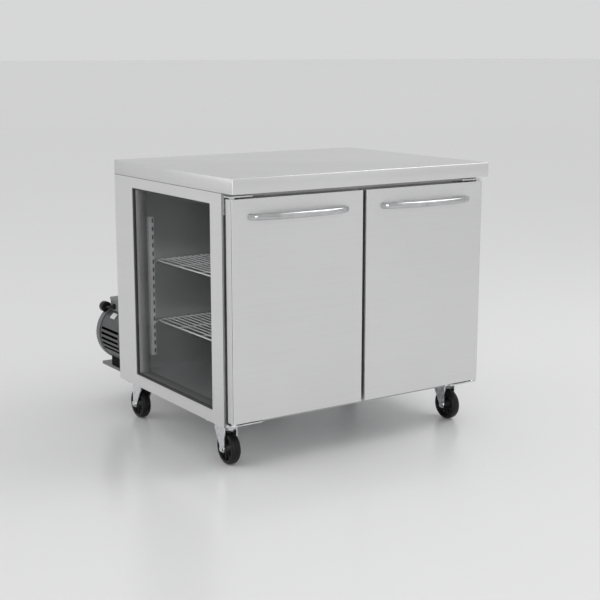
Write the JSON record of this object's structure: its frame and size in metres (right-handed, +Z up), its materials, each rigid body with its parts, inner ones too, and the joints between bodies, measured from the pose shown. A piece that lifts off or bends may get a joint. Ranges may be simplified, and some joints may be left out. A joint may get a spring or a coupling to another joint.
{
  "type": "undercounter refrigerator",
  "caption": "Low two-door stainless refrigerator on swivel casters, with a glazed left side, wire shelves, bow handles and a motor compressor on a rear tray.",
  "frame": {"origin": "on the floor, under the middle of the overall outline (worktop width; handle fronts to rear tray)", "axes": "+X to the right seen from the doors, +Y from the doors to the rear tray, +Z up"},
  "size_m": [0.97, 1.0345, 0.885],
  "materials": {
    "steel_sheet": "satin",
    "door_steel": "satin",
    "galvanised": "matte",
    "liner_steel": "satin",
    "frame_steel": "satin",
    "glass": "gloss",
    "black_rubber": "matte",
    "gasket_rubber": "matte",
    "pilaster_steel": "satin",
    "shelf_wire": "polished",
    "aluminium_sheet": "satin",
    "motor_paint": "satin",
    "fan_plastic": "satin",
    "tray_steel": "satin",
    "black_plastic": "satin",
    "compressor_paint": "satin",
    "box_paint": "satin",
    "black_wire": "satin",
    "copper": "satin",
    "chrome": "polished",
    "zinc": "satin",
    "wheel_rubber": "satin",
    "foam": "matte"
  },
  "bodies": {
    "cabinet": {"worktop": "steel_sheet", "insulation": "foam", "side_panel_left": "steel_sheet", "side_panel_right": "steel_sheet", "back_panel": "galvanised", "base_panel": "galvanised", "liner": "liner_steel", "front_frame": "frame_steel", "window_glass": "glass", "window_seal": "black_rubber", "pilasters": "pilaster_steel", "shelf_clips": "pilaster_steel", "evaporator_cover": "aluminium_sheet", "evaporator_coil": "aluminium_sheet", "evaporator_motor": "motor_paint", "rear_tray": "tray_steel", "condensate_pan": "black_plastic", "drain_tube": "black_plastic", "compressor_body": "compressor_paint", "compressor_core": "motor_paint", "compressor_cowl": "compressor_paint", "terminal_box": "box_paint", "start_capacitor": "box_paint", "compressor_feet": "black_rubber", "condenser_coil": "aluminium_sheet", "condenser_shroud": "galvanised", "condenser_motor": "motor_paint", "condenser_guard": "black_wire", "filter_drier": "copper", "refrigerant_pipes": "copper", "control_box": "box_paint", "hinge_brackets": "chrome", "caster_plates": "zinc", "caster_bolts": "zinc"},
    "shelf_left_lower": {"shelf_left_lower": "shelf_wire"},
    "shelf_left_upper": {"shelf_left_upper": "shelf_wire"},
    "shelf_right_lower": {"shelf_right_lower": "shelf_wire"},
    "shelf_right_upper": {"shelf_right_upper": "shelf_wire"},
    "evaporator_fan": {"evaporator_fan": "fan_plastic"},
    "condenser_fan": {"condenser_fan": "fan_plastic"},
    "thermostat_knob": {"thermostat_knob": "black_plastic"},
    "power_switch": {"power_switch": "black_plastic"},
    "door_left": {"door_left_skin": "door_steel", "door_left_core": "foam", "door_left_inner": "liner_steel", "door_left_gasket": "gasket_rubber", "door_left_handle": "chrome"},
    "door_right": {"door_right_skin": "door_steel", "door_right_core": "foam", "door_right_inner": "liner_steel", "door_right_gasket": "gasket_rubber", "door_right_handle": "chrome"},
    "caster_fork_front_left": {"caster_fork_front_left": "zinc"},
    "caster_wheel_front_left": {"caster_wheel_front_left": "wheel_rubber"},
    "caster_fork_front_right": {"caster_fork_front_right": "zinc"},
    "caster_wheel_front_right": {"caster_wheel_front_right": "wheel_rubber"},
    "caster_fork_rear_left": {"caster_fork_rear_left": "zinc"},
    "caster_wheel_rear_left": {"caster_wheel_rear_left": "wheel_rubber"},
    "caster_fork_rear_right": {"caster_fork_rear_right": "zinc"},
    "caster_wheel_rear_right": {"caster_wheel_rear_right": "wheel_rubber"}
  },
  "joints": [
    {"name": "door_left_hinge", "type": "hinge", "parent": "cabinet", "child": "door_left", "pos_m": [-0.466, -0.461, 0.485], "axis": [0, 0, -1], "range_deg": [0, 110]},
    {"name": "door_right_hinge", "type": "hinge", "parent": "cabinet", "child": "door_right", "pos_m": [0.466, -0.461, 0.485], "axis": [0, 0, 1], "range_deg": [0, 110]},
    {"name": "swivel_front_left", "type": "hinge", "parent": "cabinet", "child": "caster_fork_front_left", "pos_m": [-0.435, -0.347, 0.122], "axis": [0, 0, 1], "continuous": true},
    {"name": "wheel_front_left", "type": "hinge", "parent": "caster_fork_front_left", "child": "caster_wheel_front_left", "pos_m": [-0.435, -0.375, 0.051], "axis": [1, 0, 0], "continuous": true},
    {"name": "swivel_front_right", "type": "hinge", "parent": "cabinet", "child": "caster_fork_front_right", "pos_m": [0.435, -0.347, 0.122], "axis": [0, 0, 1], "continuous": true},
    {"name": "wheel_front_right", "type": "hinge", "parent": "caster_fork_front_right", "child": "caster_wheel_front_right", "pos_m": [0.435, -0.375, 0.051], "axis": [1, 0, 0], "continuous": true},
    {"name": "swivel_rear_left", "type": "hinge", "parent": "cabinet", "child": "caster_fork_rear_left", "pos_m": [-0.435, 0.194, 0.122], "axis": [0, 0, 1], "continuous": true},
    {"name": "wheel_rear_left", "type": "hinge", "parent": "caster_fork_rear_left", "child": "caster_wheel_rear_left", "pos_m": [-0.435, 0.222, 0.051], "axis": [1, 0, 0], "continuous": true},
    {"name": "swivel_rear_right", "type": "hinge", "parent": "cabinet", "child": "caster_fork_rear_right", "pos_m": [0.435, 0.194, 0.122], "axis": [0, 0, 1], "continuous": true},
    {"name": "wheel_rear_right", "type": "hinge", "parent": "caster_fork_rear_right", "child": "caster_wheel_rear_right", "pos_m": [0.435, 0.222, 0.051], "axis": [1, 0, 0], "continuous": true},
    {"name": "evaporator_fan_spin", "type": "hinge", "parent": "cabinet", "child": "evaporator_fan", "pos_m": [0, 0.035, 0.769], "axis": [0, 0, 1], "continuous": true},
    {"name": "condenser_fan_spin", "type": "hinge", "parent": "cabinet", "child": "condenser_fan", "pos_m": [-0.045, 0.389, 0.258], "axis": [0, 1, 0], "continuous": true},
    {"name": "thermostat_turn", "type": "hinge", "parent": "cabinet", "child": "thermostat_knob", "pos_m": [0.31, 0.34, 0.727], "axis": [0, 1, 0], "range_deg": [0, 270]},
    {"name": "power_rocker", "type": "hinge", "parent": "cabinet", "child": "power_switch", "pos_m": [0.375, 0.329, 0.727], "axis": [-1, 0, 0], "range_deg": [0, 18]},
    {"name": "shelf_left_lower_lift", "type": "slide", "parent": "cabinet", "child": "shelf_left_lower", "axis": [0, 0, 1], "range_m": [0, 0.015]},
    {"name": "shelf_left_upper_lift", "type": "slide", "parent": "cabinet", "child": "shelf_left_upper", "axis": [0, 0, 1], "range_m": [0, 0.015]},
    {"name": "shelf_right_lower_lift", "type": "slide", "parent": "cabinet", "child": "shelf_right_lower", "axis": [0, 0, 1], "range_m": [0, 0.015]},
    {"name": "shelf_right_upper_lift", "type": "slide", "parent": "cabinet", "child": "shelf_right_upper", "axis": [0, 0, 1], "range_m": [0, 0.015]}
  ]
}
